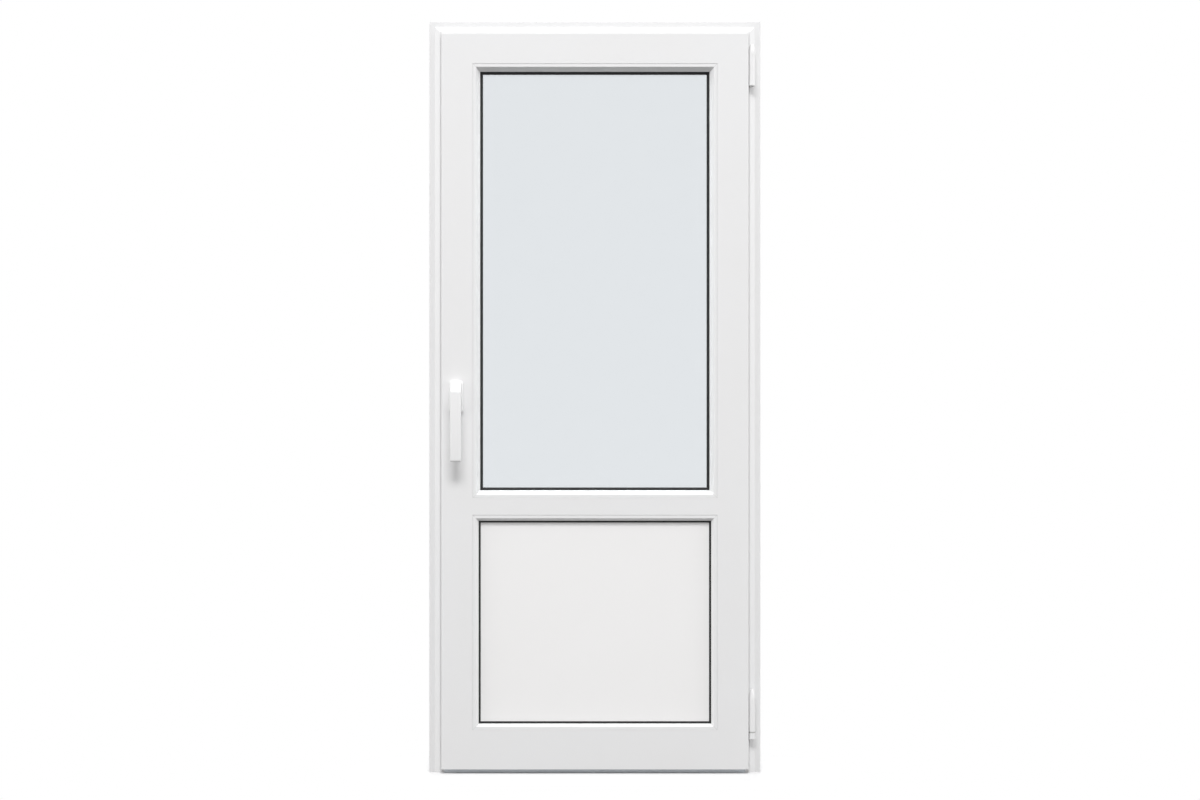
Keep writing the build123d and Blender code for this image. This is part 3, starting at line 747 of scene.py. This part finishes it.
def hang_fibre(mesh, root, length, seed):
    """A leaning fibre that hangs from its root."""
    lean = Matrix.Identity(4)
    lean[0][2], lean[1][2] = FIBRE_LEAN * scatter(seed), FIBRE_LEAN * scatter(seed + 0.5)
    hang = Matrix.Translation(root) @ lean @ Matrix.Translation((0, 0, -length / 2))
    bmesh.ops.create_cone(mesh, cap_ends=True, segments=3, radius1=FIBRE_TIP, radius2=FIBRE_ROOT,
                          depth=length, matrix=hang)


brush_low, brush_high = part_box("bottom_brush")
brush_y = (brush_low.y + brush_high.y) / 2
brush_length, brush_width = brush_high.x - brush_low.x, brush_high.y - brush_low.y
holder_low = brush_low.z + HOLDER_BOTTOM
brush = block((brush_length, brush_width, brush_high.z - holder_low))
soften(brush, [edge for edge in edges_along(brush, U) if edge in edges_at(brush, W, 0)], HOLDER_EDGE, 2)
bmesh.ops.translate(brush, verts=brush.verts, vec=(0, brush_y, holder_low))
fibre_count = int(brush_length / FIBRE_PITCH)
row_reach = FIBRE_SPREAD * brush_width
for row, row_y in enumerate(spread(-row_reach, row_reach, FIBRE_ROWS)):
    for step in range(fibre_count):
        seed = step * FIBRE_ROWS + row
        across = brush_low.x + (step + 0.5 + FIBRE_SHIFT * scatter(seed + 0.25)) * brush_length / fibre_count
        reach = HOLDER_BOTTOM - FIBRE_UNEVEN + FIBRE_UNEVEN * scatter(seed + 0.75)
        hang_fibre(brush, (across, brush_y + row_y, holder_low), reach, seed)
bristles = add_piece("brush_bristles", brush, pile, "sash")
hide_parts("bottom_brush")

# %% [markdown]
# ## Drain hoods
#
# Water that gets past the outer gasket leaves the bottom rail through slots low on its outdoor face. Each
# slot has a small clipped hood: a flange, a step and a body, drawn out of one plate by insets, with a
# pocket on the underside of the body, where the water drips.

# %% Hoods
FLANGE_SIZE = (0.046, 0.015, 0.0012)
FLANGE_SINK = 0.0002
HOOD_CORNER = 0.0045
HOOD_STEPS = [(0.0007, 0.0008), (0.0018, 0), (0.0004, 0.0034), (0.0009, 0.0010)]
HOOD_HEIGHT = 0.024
HOOD_ASIDE = 0.55
POCKET_RIM = 0.0007
POCKET_DEPTH = 0.0035
LOOKS_DOWN = -0.9

rail_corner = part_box("sash_bottom_rail")[1]
sash_underside = corner_low.z
hoods = block(FLANGE_SIZE)
soften(hoods, edges_along(hoods, W), HOOD_CORNER)
hood_front = top_face(hoods)
for inset, rise in HOOD_STEPS:
    step_up(hoods, hood_front, inset, rise)
undersides = [face for face in hoods.faces
              if face.normal.y < LOOKS_DOWN and face.calc_center_median().z > FLANGE_SIZE[W]]
for face in undersides:
    step_up(hoods, face, POCKET_RIM, -POCKET_DEPTH)
hood_places = [(aside * rail_corner.x, rail_corner.y - FLANGE_SINK, sash_underside + HOOD_HEIGHT)
               for aside in (-HOOD_ASIDE, HOOD_ASIDE)]
copy_to(hoods, [seat_on(place, (0, 1, 0)) for place in hood_places])
add_piece("drain_hoods", hoods, profile_level, "sash")

# %% [markdown]
# ## Handle grip
#
# The grip is the one fitting that a hand knows, so it gets a mesh of its own in place of the solid, with
# edges that are softly and evenly rounded. Its side view is drawn with one vertex as the pen: extruded
# for a straight line, spun for an arc. From the rose the line curves over the shoulder, runs down the
# bowed front, round the foot, up the back and into the throat under the neck. Filled and extruded across,
# it has two rims, which a bevel rounds. The shoulder has few steps, because a step shorter than the bevel
# would fold. Lengths are in millimetres here: how far a point stands out from the sash, and how high
# above the spindle.

# %% A pen for side views
MM_PER_METRE = 1000


def side_point(out, height):
    return Vector((0, -out, height)) / MM_PER_METRE


def line_to(mesh, pen, end):
    """Extrude the pen to a point, and return the pen there."""
    tip = bmesh.ops.extrude_vert_indiv(mesh, verts=[pen])["verts"][0]
    bmesh.ops.translate(mesh, verts=[tip], vec=end - tip.co)
    return tip


def arc_to(mesh, pen, end, bulge, steps):
    """Spin the pen to a point, on an arc that stands out by bulge half way, and return the pen there."""
    chord = end - pen.co
    angle = 4 * math.atan(2 * bulge / MM_PER_METRE / chord.length)
    aside = Vector((1, 0, 0)).cross(chord) / 2
    centre = pen.co + chord / 2 + aside / math.tan(angle / 2)
    spun = bmesh.ops.spin(mesh, geom=[pen], cent=centre, axis=(1, 0, 0), angle=angle, steps=steps)
    return only_verts(spun["geom_last"])[0]


print("pen: line_to and arc_to")

# %% Grip
NECK_START, NECK_TOP, NECK_BOTTOM = 12.6, 40.0, -18.0
SHOULDER_OUT, SHOULDER_END, SHOULDER_BULGE = 49.0, 12.0, 4.8
GRIP_FOOT, GRIP_BACK, GRIP_BOW = -175.0, 36.0, 2.5
THROAT_OUT, THROAT_END, THROAT_BULGE = 24.3, -36.0, -5.5
SHOULDER_STEPS, BOW_STEPS, THROAT_STEPS = 9, 24, 14
GRIP_EDGE, FOOT_EDGE = 0.003, 0.004

grip_low, grip_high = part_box("handle_grip")
grip_width = grip_high.x - grip_low.x
grip_mesh = bmesh.new()
neck_corner = side_point(NECK_START, NECK_BOTTOM)
pen = bmesh.ops.create_vert(grip_mesh, co=neck_corner)["vert"][0]
pen = line_to(grip_mesh, pen, side_point(NECK_START, NECK_TOP))
pen = arc_to(grip_mesh, pen, side_point(SHOULDER_OUT, SHOULDER_END), SHOULDER_BULGE, SHOULDER_STEPS)
pen = arc_to(grip_mesh, pen, side_point(SHOULDER_OUT, GRIP_FOOT), GRIP_BOW, BOW_STEPS)
pen = line_to(grip_mesh, pen, side_point(GRIP_BACK, GRIP_FOOT))
pen = line_to(grip_mesh, pen, side_point(GRIP_BACK, THROAT_END))
pen = arc_to(grip_mesh, pen, side_point(THROAT_OUT, NECK_BOTTOM), THROAT_BULGE, THROAT_STEPS)
line_to(grip_mesh, pen, neck_corner)
bmesh.ops.remove_doubles(grip_mesh, verts=grip_mesh.verts, dist=TINY)
side_view = bmesh.ops.edgeloop_fill(grip_mesh, edges=grip_mesh.edges)["faces"]
far_side = bmesh.ops.extrude_face_region(grip_mesh, geom=side_view)["geom"]
bmesh.ops.translate(grip_mesh, verts=only_verts(far_side), vec=(grip_width, 0, 0))
foot_height = GRIP_FOOT / MM_PER_METRE
foot_edges = [edge for edge in edges_along(grip_mesh, U) if edge in edges_at(grip_mesh, W, foot_height)]
soften(grip_mesh, foot_edges, FOOT_EDGE)
soften(grip_mesh, edges_at(grip_mesh, U, 0) + edges_at(grip_mesh, U, grip_width), GRIP_EDGE)
bmesh.ops.translate(grip_mesh, verts=grip_mesh.verts,
                    vec=(grip_low.x, sash_face_y, grip_low.z - foot_height))
grip = add_piece("smooth_grip", grip_mesh, coat, "handle")
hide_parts("handle_grip")

# %% [markdown]
# The rose under the grip is a flat cap that hides the screws. It is a block with round corners, and its
# front rim has the same soft edge as the grip.

# %% Rose
ROSE_CORNER = 0.008

rose_low, rose_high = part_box("handle_rose")
rose_size = (rose_high.x - rose_low.x, rose_high.z - rose_low.z, rose_high.y - rose_low.y)
rose_mesh = block(rose_size)
soften(rose_mesh, edges_along(rose_mesh, W), ROSE_CORNER)
soften(rose_mesh, edges_at(rose_mesh, W, rose_size[W]), GRIP_EDGE)
rose_seat = seat_on(((rose_low.x + rose_high.x) / 2, rose_high.y, (rose_low.z + rose_high.z) / 2), (0, -1, 0))
bmesh.ops.transform(rose_mesh, matrix=rose_seat, verts=rose_mesh.verts)
rose = add_piece("smooth_rose", rose_mesh, coat, "sash")
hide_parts("handle_rose")

# %% [markdown]
# ## Studio
#
# The door stands on a pale floor in front of nothing at all. The floor is a broad disc that is lit and
# shaded near the door, so that it keeps the shadow, and turns to plain white further off. That white is
# only for eyes, mirrors and glass: the light that the floor throws back on the door is that of a mid-grey
# studio floor, which is what leaves the undersides of the beads dark.

# %% Floor and surrounding white
FLOOR_RADIUS = 30.0
FLOOR_CORNERS = 96
FLOOR_SEEN = 0.76
FLOOR_THROWN = 0.20
SHADE_START = 0.02
SHADE_END = 0.22
FILL_LEVEL = 0.575
FILL_COLOUR = (0.985, 0.99, 1.0, 1)


def seen_ray(finish):
    """1 for rays that show the background: from the camera, off a gloss or through glass."""
    path = [finish.node("ShaderNodeLightPath", output=f"Is {kind} Ray")
            for kind in ("Camera", "Glossy", "Transmission")]
    return path[0].most(path[1]).most(path[2])


def studio_floor():
    finish = new_finish("studio_floor")
    x, y, _ = finish.axes()
    beside = (abs(x) - half_width).most(0)
    before = (abs(y) - jamb_high.y).most(0)
    way = beside.length_with(before) - SHADE_START
    far = way.math("DIVIDE", way, SHADE_END - SHADE_START, clamp=True)
    near_floor = finish.node("ShaderNodeBsdfDiffuse", None, {"Color": grey(FLOOR_SEEN)})
    far_floor = finish.node("ShaderNodeEmission", None, {"Color": grey(1.0), "Strength": 1.0})
    seen_floor = finish.node("ShaderNodeMixShader", None, {0: far, 1: near_floor, 2: far_floor})
    dull_floor = finish.node("ShaderNodeBsdfDiffuse", None, {"Color": grey(FLOOR_THROWN, 0.02)})
    both = {0: seen_ray(finish), 1: dull_floor, 2: seen_floor}
    return finish.surface(finish.node("ShaderNodeMixShader", None, both))


disc = bmesh.new()
bmesh.ops.create_circle(disc, cap_ends=True, segments=FLOOR_CORNERS, radius=FLOOR_RADIUS)
floor = mesh_piece("floor", disc, studio_floor())

studio = Finish(bpy.data.worlds.new("studio"))
fill = studio.node("ShaderNodeBackground", None, {"Color": FILL_COLOUR, "Strength": FILL_LEVEL})
white = studio.node("ShaderNodeBackground", None, {"Color": grey(1.0), "Strength": 1.0})
surround = studio.node("ShaderNodeMixShader", None, {0: seen_ray(studio), 1: fill, 2: white})
studio.surface(surround, "ShaderNodeOutputWorld")
bpy.context.scene.world = studio.owner
print("floor radius", FLOOR_RADIUS, "fill", FILL_LEVEL)

# %% [markdown]
# ## Lamps
#
# One broad lamp stands high in front of the door, in line with its middle: the slopes that look up turn
# bright, those that look down stay in the dark, and the handle throws its shadow straight down the stile.
# It is far enough away to light head and foot nearly alike. A lamp behind lights the outdoor side, high
# enough not to show through the panes, and two weak ones far round the sides light the edges of the
# frame.
#
# A lamp's power is worked out from the level wanted: a surface that faces the lamp and has the colour c
# should render at level times c, and a lamp of power P gives P / (pi * distance) ** 2 there.

# %% Lamps in front, behind and at the sides
KEY_LEVEL, KEY_HEIGHT, KEY_SIZE = 0.75, 52, (8.0, 3.5)
KEY_COLOUR = (1.0, 0.995, 1.0)
BACK_LEVEL, BACK_HEIGHT, BACK_SIZE = 0.60, 28, (8.0, 8.0)
SIDE_LEVEL, SIDE_HEIGHT, SIDE_SIZE = 0.285, 14, (7.0, 7.0)
FRONT, BEHIND, SIDE_BEARING = 0, 180, 75
LAMP_DISTANCE, SIDE_DISTANCE = 16.0, 14.0
door_middle = Vector((0, sash_face_y, door_top / 2))


def studio_lamp(name, level, bearing, height, distance, size, colour=(1.0, 1.0, 1.0)):
    """A lamp aimed at the middle of the door, bearing and height in degrees, 0 straight in front."""
    turn, rise = math.radians(bearing), math.radians(height)
    away = Vector((math.sin(turn) * math.cos(rise), -math.cos(turn) * math.cos(rise), math.sin(rise)))
    light = bpy.data.lights.new(name, "AREA")
    light.shape = "RECTANGLE"
    light.size, light.size_y = size
    light.energy = level * (math.pi * distance) ** 2
    light.color = colour
    lamp = bpy.data.objects.new(name, light)
    lamp.location = door_middle + away * distance
    lamp.rotation_euler = away.to_track_quat("Z", "Y").to_euler()
    bpy.context.scene.collection.objects.link(lamp)
    return lamp


key_lamp = studio_lamp("key_lamp", KEY_LEVEL, FRONT, KEY_HEIGHT, LAMP_DISTANCE, KEY_SIZE, KEY_COLOUR)
back_lamp = studio_lamp("back_lamp", BACK_LEVEL, BEHIND, BACK_HEIGHT, LAMP_DISTANCE, BACK_SIZE)
left_lamp = studio_lamp("left_lamp", SIDE_LEVEL, -SIDE_BEARING, SIDE_HEIGHT, SIDE_DISTANCE, SIDE_SIZE)
right_lamp = studio_lamp("right_lamp", SIDE_LEVEL, SIDE_BEARING, SIDE_HEIGHT, SIDE_DISTANCE, SIDE_SIZE)
print("lamps:", key_lamp.name, back_lamp.name, left_lamp.name, right_lamp.name)

# %% [markdown]
# ## Camera
#
# Uprights and levels run parallel in the photograph, so the camera looks straight along Y and is shifted,
# not turned. It stands close to the middle and well back, so that both jambs show. Four edges of the
# frame in the photograph then fix its scale and the shift.

# %% Camera at the photograph's place
IMAGE_SIZE = (1200, 800)
DOOR_LEFT_PX, DOOR_RIGHT_PX = 428.7, 761.0
DOOR_TOP_PX, DOOR_FOOT_PX = 20.7, 772.6
CAMERA_DISTANCE = 6.0
CAMERA_X = -0.10
CAMERA_Z = 1.0
SENSOR = 36.0

metres_per_px = door_top / (DOOR_FOOT_PX - DOOR_TOP_PX)
picture_width = IMAGE_SIZE[0] * metres_per_px
centre_x = (IMAGE_SIZE[0] - DOOR_LEFT_PX - DOOR_RIGHT_PX) / 2 * metres_per_px
centre_z = (DOOR_FOOT_PX - IMAGE_SIZE[1] / 2) * metres_per_px

lens = bpy.data.cameras.new("photo_camera")
lens.sensor_fit = "HORIZONTAL"
lens.sensor_width = SENSOR
lens.lens = SENSOR * CAMERA_DISTANCE / picture_width
lens.shift_x = (centre_x - CAMERA_X) / picture_width
lens.shift_y = (centre_z - CAMERA_Z) / picture_width
camera = bpy.data.objects.new("photo_camera", lens)
camera.location = (CAMERA_X, jamb_low.y - CAMERA_DISTANCE, CAMERA_Z)
camera.rotation_euler = (math.pi / 2, 0, 0)
bpy.context.scene.collection.objects.link(camera)
bpy.context.scene.camera = camera
bpy.context.scene.view_settings.view_transform = "Standard"
print(f"camera: lens {lens.lens:.1f} mm, shift {lens.shift_x:.3f} {lens.shift_y:.3f}")
